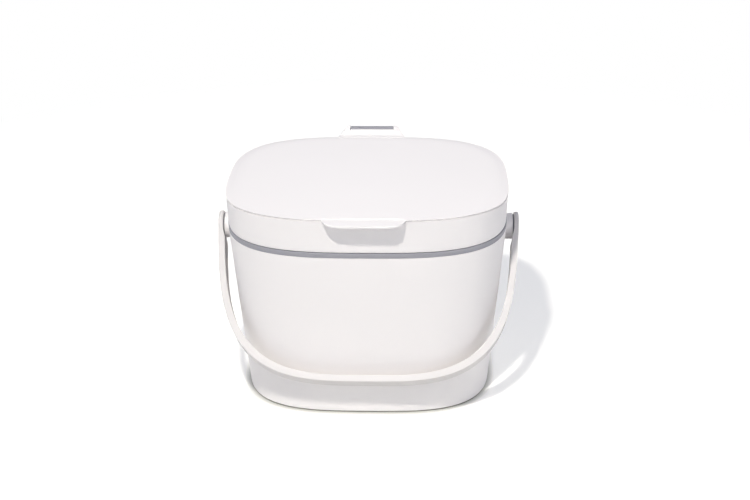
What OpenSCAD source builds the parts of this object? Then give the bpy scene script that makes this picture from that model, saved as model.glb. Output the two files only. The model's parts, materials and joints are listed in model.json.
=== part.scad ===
// Compost caddy: a tapered oval bucket with a rear-hinged lid and a swing-over carrying handle.
// Millimetres, +Z up, the finger lip faces -Y, the origin is the centre of the resting face.

/* [Bucket] */
// Width of the bucket at its rim
bucket_w = 192.8; // [178:0.2:215]
// Depth of the bucket at its rim, front to back
bucket_d = 160.1; // [150:0.1:180]
// Height of the white wall, from the counter to the grey rim band
bucket_h = 121; // [112:0.1:140]
// Inward lean of each side wall over that height
side_taper = 9.7; // [6:0.1:12]
// Inward lean of the front and rear walls over that height
front_taper = 7; // [6:0.1:12]
// Squareness of the oval at the rim
rim_power = 3.1; // [2.6:0.1:3.8]
// Squareness of the oval at the base
base_power = 3.2; // [2.8:0.1:3.8]
// Wall thickness
bucket_wall = 2.5; // [2:0.1:3.2]
// Floor thickness
floor_t = 3.2; // [2.6:0.1:5]
// Radius of the outer edge round the base
base_edge_r = 1; // [0.8:0.1:4]
// Radius of the inner corner round the floor
floor_fillet_r = 14; // [8:1:20]

/* [Base pad] */
// Distance of the pad from the edge of the base
pad_inset = 14; // [10:1:24]
// Thickness of the pad
pad_t = 1.6; // [1.4:0.1:2.2]
// How far the pad stands out below the base
pad_proud = 0.5; // [0.4:0.1:0.8]

/* [Rim ring] */
// Height of the grey band that shows
band_h = 3.5; // [2.6:0.1:5]
// Thickness of the band outside the bucket's rim tongue
band_t = 1.2; // [0.9:0.1:1.3]
// Thickness of the ring over the top of the tongue
ring_top_t = 1.3; // [1:0.1:1.6]
// Width of the ring's top face, on which the seal rests
ring_land_w = 6.2; // [6:0.1:7]
// Thickness of the clip skirt inside the bucket
clip_t = 1.2; // [0.9:0.1:1.6]
// Height of the clip skirt
clip_h = 5; // [3:0.5:8]

/* [Lid] */
// Height of the lid's outer shell
lid_h = 23.3; // [19:0.1:30]
// Slit between the grey band and the lid's edge
lid_gap = 0.5; // [0.3:0.1:0.9]
// How far the lid's top edge stands out past the grey band
lid_overhang = 0.6; // [0:0.1:0.8]
// Inward lean of the lid's skirt towards its edge
lid_draft = 0.9; // [0.5:0.1:1]
// Wall thickness of the shell
lid_wall = 2.2; // [1.8:0.1:2.4]
// Radius of the lid's top edge
lid_edge_r = 1; // [0.6:0.1:1.6]
// Wall thickness of the inner panel
liner_t = 1.6; // [1.3:0.1:2]
// Space between the inner panel and the shell's top
liner_air = 4.2; // [3:0.1:7]
// Depth of the inner panel's drip edge below the seal land
drip_h = 3.4; // [2:0.1:5]
// Play between the drip edge and the rim ring
drip_play = 1.6; // [1.4:0.1:2.4]
// Height of the seal
seal_h = 2.2; // [1.6:0.1:3]
// Width of the seal
seal_w = 2; // [1.6:0.1:2.1]
// Widest opening of the lid, in degrees
lid_open = 105; // [95:1:110]

/* [Finger lip] */
// Width of the lip where it leaves the lid's edge
lip_root_w = 54.6; // [48:0.2:64]
// Squareness of the lip's two front corners
lip_power = 8; // [5:0.5:10]
// How far the lip stands out from the lid
lip_reach = 8.6; // [6:0.1:10]
// Fall of the lip's top face towards its front
lip_drop = 0.6; // [0.4:0.1:2.5]
// Thickness of the lip
lip_t = 1.7; // [1.5:0.1:3.5]

/* [Hinge] */
// Distance of the hinge axis behind the lid
hinge_out = 8.9; // [8.2:0.1:11]
// Radius of the lid's two hinge knuckles
knuckle_r = 4.4; // [4:0.1:4.8]
// Radius of the bracket's knuckle between them
bracket_knuckle_r = 3.6; // [3.2:0.1:3.8]
// Width of the lid's tab over its two knuckles
tab_w = 41; // [40:0.5:48]
// Width of the lid's tab where it leaves the lid
tab_root_w = 49.5; // [49:0.5:60]
// Width of the bracket's knuckle
bracket_w = 32.4; // [29:0.1:33]
// Radius of the hinge pin
hinge_pin_r = 1.5; // [1.2:0.1:1.8]
// Thickness of the bracket's plate
bracket_t = 3; // [2.4:0.1:3.5]
// Height of the pad on the bucket that carries the bracket
mount_pad_h = 18; // [14:1:20]
// Distance between the bracket's screws
screw_pitch = 18; // [14:1:20]
// Radius of the screws' shanks
screw_r = 1.5; // [1.2:0.1:1.8]
// Radius of the screws' heads
screw_head_r = 3.1; // [2.6:0.1:3.5]
// Thickness of the screws' heads
screw_head_t = 1.9; // [1.5:0.1:2.2]
// Length of the screws' shanks
screw_len = 8.5; // [7:0.1:9]

/* [Handle] */
// Distance of the handle's axis below the grey band
pivot_drop = 11.4; // [11.2:0.1:16]
// Radius of the bosses on the bucket
boss_r = 9.2; // [8:0.1:9.8]
// How far the bosses stand out from the wall
boss_len = 6; // [5.4:0.1:9]
// Radius of the handle's round ends
end_r = 10; // [9.2:0.1:11]
// Thickness of the handle's round ends
end_t = 3.2; // [2.6:0.1:4]
// Thickness of the handle's strap
strap_t = 4.5; // [3.6:0.1:5]
// Width of the strap at the grip
grip_w = 12.5; // [10:0.1:16]
// Distance from the axis at which the strap reaches the grip's width
strap_narrow_r = 60; // [45:1:80]
// Free space between the swinging grip and the hinge
grip_clear = 10.1; // [2.5:0.1:14]
// Inward lean of the arms, mm per mm
arm_lean = 0.05; // [0.03:0.001:0.055]
// Squareness of the bail across its width
bail_power_x = 3.3; // [2.9:0.1:3.8]
// Squareness of the bail along its reach
bail_power_r = 3.4; // [2.8:0.1:3.8]
// Chamfer of the strap's edges
strap_chamfer = 1.1; // [0.5:0.1:1.5]
// Thickness of the washers between the bosses and the handle
washer_t = 0.7; // [0.4:0.1:1]
// Radius of the pivot pins
pivot_pin_r = 3; // [2.5:0.1:3.5]
// Radius of the pivot pins' flush heads
pivot_head_r = 5.5; // [5:0.1:6.5]
// Wall of the bushes in the bosses
bush_wall = 1.9; // [1.5:0.1:2.2]

/* [Hidden] */

// Fits between pieces
run_gap = 0.3;       // free gap between pieces that move past each other
snug_gap = 0.1;      // gap between pieces of one body that only locate each other
running_play = 0.05; // radial play of a pin in its bore
press = 0.02;        // radial interference of a pressed pin
thread_bite = 0.1;   // depth by which a screw cuts into its hole

// Facets
oval_sides = 80;
fillet_step = 22.5;
$fn = 64;

white_plastic = [0.95, 0.94, 0.93];
grey_plastic = [0.60, 0.60, 0.62];
grey_rubber = [0.50, 0.50, 0.52];
steel = [0.70, 0.70, 0.72];

// Heights, from the counter up
base_z = pad_proud;
floor_z = base_z + floor_t;
tongue_h = band_h - ring_top_t;
ring_top_z = bucket_h + band_h;
lid_edge_z = ring_top_z + lid_gap;
lid_top_z = lid_edge_z + lid_h;
lid_ceiling_z = lid_top_z - lid_wall;
seal_z = ring_top_z + run_gap;
flange_z = seal_z + seal_h;
flange_top_z = flange_z + liner_t;
liner_top_z = lid_ceiling_z - liner_air;
pivot_z = bucket_h - pivot_drop;

// The lid is drawn as insets from the bucket's rim outline
rim_half_w = bucket_w / 2;
rim_half_d = bucket_d / 2;
lid_half_w = rim_half_w + lid_overhang;
lid_half_d = rim_half_d + lid_overhang;
drip_inset = ring_land_w + drip_play;
skirt_inset = lid_draft + lid_wall - lid_overhang;
rib_reach = 0.9;
rib_h = 1.6;
bead_reach = 0.4;
seal_inset = skirt_inset + bead_reach + snug_gap;

// Hinge
hinge_y = lid_half_d + hinge_out;
hinge_z = lid_top_z;
tab_t = 3.6;
tab_sink = 0.3;
tab_front = -bracket_knuckle_r - run_gap;
tab_front_z = tab_top(tab_front);
stop_corner_r = norm([tab_front, tab_front_z]);
stop_corner_a = atan2(tab_front_z, tab_front);
stop_y = stop_corner_r * cos(stop_corner_a - lid_open);
stop_z = stop_corner_r * sin(stop_corner_a - lid_open) - run_gap;
stop_past = 0.5;
pad_below_band = 4;
plate_y = hinge_y - bracket_knuckle_r + snug_gap;
plate_w = bracket_w;
mount_pad_top = bucket_h - pad_below_band;
mount_pad_z = mount_pad_top - mount_pad_h;
mount_pad_w = plate_w;
screw_z = mount_pad_z + mount_pad_h / 2;
mount_pad_y = (bucket_half_d(mount_pad_z) + bucket_half_d(mount_pad_top) - bucket_wall) / 2;

// Handle
boss_root = bucket_half_w(pivot_z - boss_r) - bucket_wall / 5;
boss_end = bucket_half_w(pivot_z) + boss_len;
end_inner_x = boss_end + run_gap + washer_t;
end_outer_x = end_inner_x + end_t;
hinge_far_r = norm([hinge_y, hinge_z - pivot_z]) + knuckle_r;
grip_inner_r = hinge_far_r + grip_clear;
grip_outer_r = grip_inner_r + strap_t;
shoulder_r = end_r + 0.3;
shoulder_end_r = end_r + 6;
root_t = end_t - 0.2 - arm_lean * shoulder_r;
bush_r = pivot_pin_r + running_play + bush_wall;
bush_len = boss_len;
snap_len = 1;
snap_reach = 0.4;
snap_room = 0.35;
head_t = 1.2;
washer_r = boss_r - 0.8;

// The lowered handle leans until the grip's inner edge comes to the front wall
wall_lean = front_taper / bucket_h;
grip_corner_r = norm([grip_inner_r, grip_w / 2]);
grip_corner_a = atan2(grip_w / 2, grip_inner_r);
wall_reach = bucket_half_d(0) + wall_lean * pivot_z + run_gap;
handle_tilt = asin(wall_reach / (grip_corner_r * norm([1, wall_lean]))) - atan(wall_lean) + grip_corner_a;

function bucket_half_w(z) = rim_half_w - side_taper * (1 - z / bucket_h);
function bucket_half_d(z) = rim_half_d - front_taper * (1 - z / bucket_h);
function bucket_power(z) = base_power + (rim_power - base_power) * z / bucket_h;

// One closed ring of points on a superellipse at height z
function oval(half_w, half_d, power, z) = [
    for (i = [0:oval_sides - 1])
        let (a = 360 * i / oval_sides)
        let (k = pow(pow(abs(cos(a)), power) + pow(abs(sin(a)), power), -1 / power))
        [half_w * k * cos(a), half_d * k * sin(a), z]
];
// The bucket's outline at height z, moved in by inset
function bucket_oval(inset, z) = oval(bucket_half_w(z) - inset, bucket_half_d(z) - inset, bucket_power(z), z);
// The rim's outline, moved in by inset, at any height
function rim_oval(inset, z) = oval(rim_half_w - inset, rim_half_d - inset, rim_power, z);
// How far the lid's skirt leans in at height z
function lid_lean(z) = lid_draft * (lid_top_z - z) / lid_h - lid_overhang;

// Smooth step from 0 to 1
function ease(t) = let (u = min(max(t, 0), 1)) u * u * (3 - 2 * u);

// Solid through a list of rings, each with the same number of points.
// The first ring faces down or towards the start, the last one up or towards the end.
module loft(rings, closed = false) {
    n = len(rings[0]);
    count = len(rings);
    spans = closed ? count : count - 1;
    sides = [
        for (i = [0:spans - 1], j = [0:n - 1])
            let (k = (i + 1) % count, m = (j + 1) % n)
            each [[i * n + j, k * n + j, k * n + m], [i * n + j, k * n + m, i * n + m]]
    ];
    caps = closed ? [] : [[for (j = [0:n - 1]) j], [for (j = [n - 1:-1:0]) (count - 1) * n + j]];
    polyhedron(points = [for (r = rings) each r], faces = concat(sides, caps), convexity = 8);
}

// Children once on each side of the object, the right side as drawn
module both_sides() {
    children();
    mirror([1, 0, 0]) children();
}

// Cylinder along +X from x0 to x1, on the handle's axis
module pivot_rod(r, x0, x1) {
    translate([x0, 0, pivot_z]) rotate([0, 90, 0]) cylinder(r = r, h = x1 - x0);
}

// Cylinder along X, centred on the hinge axis
module hinge_rod(r, w) {
    translate([-w / 2, hinge_y, hinge_z]) rotate([0, 90, 0]) cylinder(r = r, h = w);
}

// ---------------------------------------------------------------- bucket

module bucket_shell() {
    recess_z = base_z + pad_t - pad_proud;
    loft([
        bucket_oval(pad_inset, recess_z),
        bucket_oval(pad_inset, base_z),
        for (a = [0:fillet_step:90])
            bucket_oval(base_edge_r * (1 - sin(a)), base_z + base_edge_r * (1 - cos(a))),
        bucket_oval(0, bucket_h),
        rim_oval(band_t, bucket_h),
        rim_oval(band_t, bucket_h + tongue_h),
        rim_oval(bucket_wall, bucket_h + tongue_h),
        bucket_oval(bucket_wall, bucket_h),
        for (a = [90:-fillet_step / 1.5:0])
            bucket_oval(bucket_wall + floor_fillet_r * (1 - sin(a)), floor_z + floor_fillet_r * (1 - cos(a)))
    ]);
}

module bucket() {
    color(white_plastic)
    difference() {
        union() {
            bucket_shell();
            both_sides() pivot_rod(boss_r, boss_root, boss_end);
            translate([-mount_pad_w / 2, mount_pad_y, mount_pad_z])
                cube([mount_pad_w, plate_y - mount_pad_y, mount_pad_h]);
        }
        both_sides() pivot_rod(bush_r, boss_end - bush_len, boss_end + 1);
        both_sides() pivot_rod(pivot_pin_r + snap_reach + snap_room, boss_end - bush_len - snap_len - snap_room,
            boss_end - bush_len + 0.5);
        for (side = [-1, 1])
            translate([side * screw_pitch / 2, plate_y + 1, screw_z])
                rotate([90, 0, 0])
                    cylinder(r = screw_r - thread_bite, h = screw_len - bracket_t + 1.3);
    }
}

module rim_ring() {
    clip_inset = bucket_wall + snug_gap;
    color(grey_plastic)
    loft([
        bucket_oval(clip_inset + clip_t, bucket_h - clip_h),
        bucket_oval(clip_inset, bucket_h - clip_h),
        rim_oval(clip_inset, bucket_h),
        rim_oval(clip_inset, bucket_h + tongue_h),
        rim_oval(band_t, bucket_h + tongue_h),
        rim_oval(band_t, bucket_h),
        rim_oval(0, bucket_h),
        rim_oval(0, ring_top_z),
        rim_oval(ring_land_w, ring_top_z),
        rim_oval(ring_land_w, ring_top_z - ring_top_t),
        rim_oval(clip_inset + clip_t, ring_top_z - ring_top_t - 0.4)
    ], closed = true);
}

module base_pad() {
    color(grey_rubber)
    loft([
        bucket_oval(pad_inset + snug_gap, 0),
        bucket_oval(pad_inset + snug_gap, pad_t)
    ]);
}

// ---------------------------------------------------------------- hinge

// The knuckle's top runs on behind the pin as a flat stop for the open lid
module hinge_bracket() {
    crown = bracket_knuckle_r * [-sin(15), cos(15)];
    crown_slope = (stop_z - crown[1]) / (stop_y - crown[0]);
    color(grey_plastic)
    difference() {
        union() {
            hinge_rod(bracket_knuckle_r, bracket_w);
            translate([-bracket_w / 2, hinge_y, hinge_z]) rotate([90, 0, 90])
                linear_extrude(bracket_w)
                    polygon([crown, [stop_y + stop_past, stop_z + stop_past * crown_slope],
                        [stop_y + stop_past, 0], [0, -bracket_knuckle_r]]);
            translate([-plate_w / 2, plate_y, mount_pad_z])
                cube([plate_w, bracket_t, hinge_z - mount_pad_z]);
        }
        hinge_rod(hinge_pin_r + running_play, bracket_w + 2);
        for (side = [-1, 1])
            translate([side * screw_pitch / 2, plate_y + bracket_t + 1, screw_z])
                rotate([90, 0, 0])
                    cylinder(r = screw_r + snug_gap, h = bracket_t + 2);
    }
}

module hinge_screw(side) {
    color(steel)
    translate([side * screw_pitch / 2, plate_y + bracket_t, screw_z])
        rotate([-90, 0, 0]) {
            translate([0, 0, -screw_len]) cylinder(r = screw_r, h = screw_len);
            difference() {
                rotate_extrude()
                    polygon([[0, 0], [screw_head_r, 0], [screw_head_r, screw_head_t * 0.5],
                        [screw_head_r * 0.8, screw_head_t], [0, screw_head_t]]);
                for (turn = [0, 90])
                    rotate([0, 0, turn])
                        translate([-screw_head_r * 0.6, -0.4, screw_head_t * 0.5])
                            cube([screw_head_r * 1.2, 0.8, screw_head_t]);
            }
        }
}

module hinge_pin() {
    color(steel)
    hinge_rod(hinge_pin_r, tab_w - 1.2);
}

// ---------------------------------------------------------------- lid

// Top face of the rear tab, relative to the hinge axis
function tab_top(y) = -tab_sink + (knuckle_r + tab_sink - 0.05) * (1 - pow(min(-y / hinge_out, 1), 1.4));
// Half width of the rear tab
function tab_half_w(y) = tab_w / 2 + (tab_root_w - tab_w) / 2 * pow(min(-y / hinge_out, 1), 2);

module rear_tab() {
    steps = [-hinge_out - 2 * lid_wall, -hinge_out - 0.2, for (t = [0.88, 0.74, 0.6, 0.46, 0.32, 0.16, 0]) -hinge_out * t];
    loft([
        for (y = steps)
            [
                [-tab_half_w(y), hinge_y + y, hinge_z - tab_t],
                [-tab_half_w(y), hinge_y + y, hinge_z + tab_top(y)],
                [tab_half_w(y), hinge_y + y, hinge_z + tab_top(y)],
                [tab_half_w(y), hinge_y + y, hinge_z - tab_t]
            ]
    ]);
}

// Front edge of the lid's top at x
function lid_front_y(x) = -lid_half_d * pow(1 - pow(abs(x) / lid_half_w, rim_power), 1 / rim_power);

module finger_lip() {
    root = lip_root_w / 2;
    shares = [0.25, 0.5, 0.68, 0.8, 0.88, 0.94, 0.98, 1];
    xs = [for (i = [7:-1:0]) -root * shares[i], 0, for (t = shares) root * t];
    loft([
        for (x = xs)
            let (share = 1 - pow(abs(x) / root, lip_power), out = lip_reach * share, edge = lid_front_y(x))
            let (top = lid_top_z - 0.2, front = top - lip_drop * share)
            [
                [x, edge + lid_wall * 0.6, lid_top_z - 0.5],
                [x, edge + 0.3, lid_top_z - 0.15],
                [x, edge - out * 0.5, top - lip_drop * share * 0.8],
                [x, edge - max(out - 1, 0), front],
                [x, edge - out, front - lip_t * 0.4],
                [x, edge - max(out - 1, 0), front - lip_t],
                [x, edge + 0.3, lid_top_z - 0.6 - lip_t * 1.6],
                [x, edge + lid_wall * 0.6, lid_top_z - 0.8 - lip_t * 1.6]
            ]
    ]);
}

module lid_cap() {
    inner = skirt_inset;
    loft([
        rim_oval(lid_lean(lid_ceiling_z) + lid_wall + 2, lid_ceiling_z),
        rim_oval(lid_lean(lid_ceiling_z) + lid_wall, lid_ceiling_z - 2),
        rim_oval(lid_lean(flange_top_z + 2 * rib_h) + lid_wall, flange_top_z + 2 * rib_h),
        rim_oval(inner + rib_reach, flange_top_z + rib_h / 2),
        rim_oval(inner + rib_reach, flange_top_z),
        rim_oval(inner, flange_top_z),
        rim_oval(inner, flange_z),
        rim_oval(inner + bead_reach, flange_z - 0.4),
        rim_oval(inner, flange_z - 0.8),
        rim_oval(inner, lid_edge_z),
        rim_oval(lid_lean(lid_edge_z), lid_edge_z),
        for (a = [0:fillet_step * 2:90])
            rim_oval(lid_lean(lid_top_z - lid_edge_r) + lid_edge_r * (1 - cos(a)), lid_top_z - lid_edge_r * (1 - sin(a)))
    ]);
}

module lid_shell() {
    color(white_plastic)
    difference() {
        union() {
            lid_cap();
            finger_lip();
            difference() {
                union() {
                    rear_tab();
                    hinge_rod(knuckle_r, tab_w);
                }
                translate([-bracket_w / 2 - run_gap, hinge_y + tab_front, hinge_z - 2 * knuckle_r])
                    cube([bracket_w + 2 * run_gap, 4 * knuckle_r, 4 * knuckle_r]);
            }
        }
        hinge_rod(hinge_pin_r - press, tab_w + 2);
    }
}

module lid_liner() {
    wall_in = drip_inset + liner_t;
    corner = 6;
    color(white_plastic)
    loft([
        for (a = [90:-fillet_step * 2:0])
            rim_oval(wall_in + corner * (1 - cos(a)), liner_top_z - liner_t - corner * (1 - sin(a))),
        rim_oval(wall_in, ring_top_z - drip_h),
        rim_oval(drip_inset, ring_top_z - drip_h),
        rim_oval(drip_inset, flange_z),
        rim_oval(skirt_inset + snug_gap, flange_z),
        rim_oval(skirt_inset + snug_gap, flange_top_z),
        rim_oval(drip_inset, flange_top_z),
        for (a = [0:fillet_step * 2:90])
            rim_oval(drip_inset + corner * (1 - cos(a)), liner_top_z - corner * (1 - sin(a)))
    ]);
}

module lid_seal() {
    color(grey_rubber)
    loft([
        rim_oval(seal_inset + seal_w, flange_z),
        rim_oval(seal_inset + seal_w, seal_z + 0.6),
        rim_oval(seal_inset + seal_w * 0.7, seal_z),
        rim_oval(seal_inset + seal_w * 0.3, seal_z),
        rim_oval(seal_inset, seal_z + 0.6),
        rim_oval(seal_inset, flange_z)
    ], closed = true);
}

// ---------------------------------------------------------------- handle

// Width of the strap at distance r from the axis
function strap_w(r) = 2 * end_r - 0.4 + (grip_w - 2 * end_r + 0.4) * min(r / strap_narrow_r, 1);
// Thickness of the strap at distance r from the axis
function strap_depth(r) = root_t + (strap_t - root_t) * ease((r - shoulder_r) / (shoulder_end_r - shoulder_r));
// Angle along the bail at which its outer face is r away from the axis
function bail_angle(r) = asin(pow(r / grip_outer_r, bail_power_r / 2));
// Point [x, r] on the bail's curve, moved in by depth; 0 degrees is the axis, 90 the middle of the grip
function bail_point(a, depth) =
    let (r = (grip_outer_r - depth) * pow(sin(a), 2 / bail_power_r))
    [(end_outer_x - 0.1 - depth - arm_lean * r) * pow(cos(a), 2 / bail_power_x), r];
// Cross-section of the strap at that angle, hanging straight down from the axis
function strap_ring(a, side) =
    let (outer = bail_point(a, 0), depth = strap_depth(outer[1]), inner = bail_point(a, depth))
    let (half = strap_w(outer[1]) / 2, c = strap_chamfer, cut = c / depth)
    let (near = outer + (inner - outer) * cut, far = inner + (outer - inner) * cut)
    [
        for (p = [[outer, half - c], [near, half], [far, half], [inner, half - c],
            [inner, c - half], [far, -half], [near, -half], [outer, c - half]])
            [side * p[0][0], p[1], -p[0][1]]
    ];

module strap() {
    arm = [for (r = [4, end_r - 1, shoulder_r, (shoulder_r + shoulder_end_r) / 2, shoulder_end_r, 26, 38]) bail_angle(r)];
    bend = [for (t = [1:14]) arm[6] + (90 - arm[6]) * t / 15];
    angles = concat(arm, bend);
    loft(concat(
        [for (a = angles) strap_ring(a, -1)],
        [strap_ring(89.999, -1)],
        [for (i = [len(angles) - 1:-1:0]) strap_ring(angles[i], 1)]
    ));
}

module handle() {
    color(white_plastic)
    translate([0, 0, pivot_z]) rotate([-handle_tilt, 0, 0]) translate([0, 0, -pivot_z])
        difference() {
            union() {
                translate([0, 0, pivot_z]) strap();
                both_sides() pivot_rod(end_r, end_inner_x, end_outer_x);
            }
            both_sides() pivot_rod(pivot_pin_r - press, end_inner_x - 2, end_outer_x + 1);
            both_sides() pivot_rod(pivot_head_r + snug_gap, end_outer_x - head_t, end_outer_x + 1);
        }
}

module pivot_pin() {
    color(grey_plastic)
    translate([0, 0, pivot_z]) rotate([0, 90, 0])
        rotate_extrude()
            polygon([
                [0, boss_end - bush_len - snap_len],
                [pivot_pin_r - snap_reach, boss_end - bush_len - snap_len],
                [pivot_pin_r + snap_reach, boss_end - bush_len - snap_len / 2],
                [pivot_pin_r + snap_reach, boss_end - bush_len - running_play],
                [pivot_pin_r, boss_end - bush_len - running_play],
                [pivot_pin_r, end_outer_x - head_t],
                [pivot_head_r, end_outer_x - head_t],
                [pivot_head_r, end_outer_x - 0.05],
                [0, end_outer_x - 0.05]
            ]);
}

module pivot_bush() {
    color(grey_plastic)
    difference() {
        pivot_rod(bush_r, boss_end - bush_len, boss_end);
        pivot_rod(pivot_pin_r + running_play, boss_end - bush_len - 1, boss_end + 1);
    }
}

module pivot_washer() {
    color(grey_rubber)
    difference() {
        pivot_rod(washer_r, end_inner_x - washer_t, end_inner_x);
        pivot_rod(pivot_pin_r + snug_gap, end_inner_x - washer_t - 1, end_inner_x + 1);
    }
}

bucket();
rim_ring();
base_pad();
hinge_bracket();
hinge_screw(-1);  // hinge_screw_left
hinge_screw(1);  // hinge_screw_right
mirror([1, 0, 0]) pivot_bush();  // pivot_bush_left
pivot_bush();  // pivot_bush_right
lid_shell();
lid_liner();
lid_seal();
hinge_pin();
handle();
mirror([1, 0, 0]) pivot_pin();  // pivot_pin_left
pivot_pin();  // pivot_pin_right
mirror([1, 0, 0]) pivot_washer();  // pivot_washer_left
pivot_washer();  // pivot_washer_right
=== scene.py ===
"""Compost caddy with a hinged lid and a carrying bail: the finished surfaces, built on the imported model.

Lengths are millimetres until mesh_piece() turns them to metres. +Z is up, the finger lip faces -Y,
and the origin is the middle of the resting face.
"""
import json
import math

import bpy
import numpy as np
from mathutils import Matrix, Vector


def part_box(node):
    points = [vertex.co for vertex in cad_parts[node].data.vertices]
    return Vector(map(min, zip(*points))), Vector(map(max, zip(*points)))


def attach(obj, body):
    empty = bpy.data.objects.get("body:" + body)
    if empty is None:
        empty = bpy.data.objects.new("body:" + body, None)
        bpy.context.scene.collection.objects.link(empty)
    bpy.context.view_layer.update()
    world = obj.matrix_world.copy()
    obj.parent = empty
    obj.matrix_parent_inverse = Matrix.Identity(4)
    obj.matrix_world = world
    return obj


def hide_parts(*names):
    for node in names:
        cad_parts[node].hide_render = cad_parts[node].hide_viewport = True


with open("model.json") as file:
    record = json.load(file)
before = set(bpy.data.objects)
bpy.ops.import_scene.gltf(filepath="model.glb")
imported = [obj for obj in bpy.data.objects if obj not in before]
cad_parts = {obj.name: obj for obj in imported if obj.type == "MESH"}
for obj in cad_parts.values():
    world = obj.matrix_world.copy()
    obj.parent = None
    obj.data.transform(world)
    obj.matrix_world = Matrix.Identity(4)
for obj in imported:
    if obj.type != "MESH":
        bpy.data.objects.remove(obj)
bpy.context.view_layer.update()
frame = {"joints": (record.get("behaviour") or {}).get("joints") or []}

MM = 0.001


def node_box(name):
    """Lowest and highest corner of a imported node, in millimetres."""
    lo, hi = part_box(name)
    return lo / MM, hi / MM


# ---------------------------------------------------------------- sizes

ring_hi = node_box("rim_ring")[1]
shell_lo = node_box("lid_shell")[0]
handle_lo = node_box("handle")[0]
bracket_lo, bracket_hi = node_box("hinge_bracket")
pad_lo, pad_hi = node_box("base_pad")
bush_lo, bush_hi = node_box("pivot_bush_right")
washer_lo, washer_hi = node_box("pivot_washer_right")
liner_lo, liner_hi = node_box("lid_liner")
seal_lo, seal_hi = node_box("lid_seal")
screw_lo, screw_hi = node_box("hinge_screw_right")
joint_at = {j["name"]: Vector(j["pos_m"]) / MM for j in frame["joints"]}

# Bucket
RIM_HALF_W = ring_hi.x
RIM_HALF_D = ring_hi.y
RING_TOP = ring_hi.z
BAND_H = 3.5
BUCKET_H = RING_TOP - BAND_H
SIDE_TAPER = 9.7
FRONT_TAPER = 7.0
RIM_POWER = 3.1
BASE_POWER = 3.2
WALL = 2.5
BASE_Z = 0.5
BASE_EDGE_R = 1.0
FLOOR_Z = BASE_Z + 3.2
FLOOR_FILLET_R = 14
PAD_INSET = 14
PAD_TOP = pad_hi.z
BAND_T = 1.2
RING_TOP_T = 1.3
TONGUE_TOP = BUCKET_H + BAND_H - RING_TOP_T
RING_LAND_W = 6.2
CLIP_T = 1.2
CLIP_H = 5
SNUG = 0.1

# Lid
LID_EDGE_Z = shell_lo.z
LID_TOP = joint_at["lid_hinge"].z
LID_OVERHANG = 0.6
LID_DRAFT = 0.9
LID_WALL = 2.2
LID_H = LID_TOP - LID_EDGE_Z
EDGE_R = 0.15
CROWN_W = 11
CROWN_DROP = 1.4
LINE_LOW, LINE_HIGH = 1.2, 0.18  # the fine groove under the top edge lies between these depths
LINE_DEPTH = 0.8
LINER_T = 1.6
LINER_CORNER_R = 6
DRIP_INSET = 7.8
FLANGE_Z = seal_hi.z
FLANGE_TOP = FLANGE_Z + LINER_T
SKIRT_INSET = LID_DRAFT + LID_WALL - LID_OVERHANG

# Finger lip
LIP_ROOT_W = 54.6
LIP_POWER = 8
LIP_REACH = 8.6
LIP_DROP = 0.6
LIP_T = 1.7
LIP_WINDOW = 36  # half width of the front stretch that is drawn finely

# Hinge
HINGE_Y = joint_at["lid_hinge"].y
HINGE_Z = joint_at["lid_hinge"].z
HINGE_OUT = HINGE_Y - (RIM_HALF_D + LID_OVERHANG)
KNUCKLE_R = 4.4
BRACKET_KNUCKLE_R = 3.6
BRACKET_HALF_W = bracket_hi.x
BRACKET_T = 3
MOUNT_PAD_H = 18
TAB_HALF_W = 20.5
TAB_ROOT_HALF_W = 24.75
TAB_BOTTOM = -3.6
TAB_EDGE_R = 0.9
KNUCKLE_END_R = 3.4
NOTCH_GAP = 0.3
NOTCH_HALF_W = BRACKET_HALF_W + NOTCH_GAP
HINGE_PIN_R = 1.5

# Handle
PIVOT_Z = joint_at["handle_swing"].z
BOSS_R = 9.2
BOSS_END = bush_hi.x
BOSS_BORE_R = 4.95
END_R = 10
END_T = 3.2
END_INNER_X = washer_hi.x
END_OUTER_X = END_INNER_X + END_T
STRAP_T = 4.5
GRIP_W = 12.5
STRAP_ROOT_W = 2 * END_R - 0.4
STRAP_NARROW_R = 60
STRAP_EDGE_R = 0.9
ARM_LEAN = 0.05
BAIL_POWER_X = 3.3
BAIL_POWER_R = 3.4
SHOULDER_R = END_R + 0.3
SHOULDER_END_R = END_R + 6
PIN_HEAD_R = 5.5
PIN_HEAD_T = 1.2
PIN_SHAFT_R = 3
PIN_SNAP_R = 3.4
WASHER_BORE_R = 3.1
BUSH_BORE_R = 3.05

# ---------------------------------------------------------------- mesh tools


def mesh_piece(name, body, nodes, material, parts, sharp_angle=40):
    """One shown piece from parts, a list of (points, faces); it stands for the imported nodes."""
    points, faces = [], []
    for part_points, part_faces in parts:
        start = len(points)
        points.extend(tuple(float(v) * MM for v in p) for p in part_points)
        faces.extend([start + i for i in f] for f in part_faces)
    mesh = bpy.data.meshes.new(name)
    mesh.from_pydata(points, [], faces)
    mesh.validate()
    mesh.shade_smooth()
    mesh.set_sharp_from_angle(angle=math.radians(sharp_angle))
    piece = bpy.data.objects.new(name, mesh)
    bpy.context.scene.collection.objects.link(piece)
    piece.data.materials.append(material)
    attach(piece, body)
    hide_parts(*nodes)


def loft(rings, closed=False, cap_start=True, cap_end=True):
    """Skin of quads through rings of equally many points; the first ring faces down or backwards."""
    count, n = len(rings), len(rings[0])
    points = [p for ring in rings for p in ring]
    faces = []
    for i in range(count if closed else count - 1):
        k = (i + 1) % count
        for j in range(n):
            m = (j + 1) % n
            faces.append([i * n + j, i * n + m, k * n + m, k * n + j])
    if not closed and cap_start:
        faces.append(list(range(n - 1, -1, -1)))
    if not closed and cap_end:
        faces.append(list(range((count - 1) * n, count * n)))
    return points, faces


def mirrored(part):
    """The same skin on the other side of the object."""
    points, faces = part
    return [(-p[0], p[1], p[2]) for p in points], [f[::-1] for f in faces]


def full_turn(steps):
    """Even directions round a circle, in radians."""
    return np.linspace(0, 2 * math.pi, steps, endpoint=False)


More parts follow.
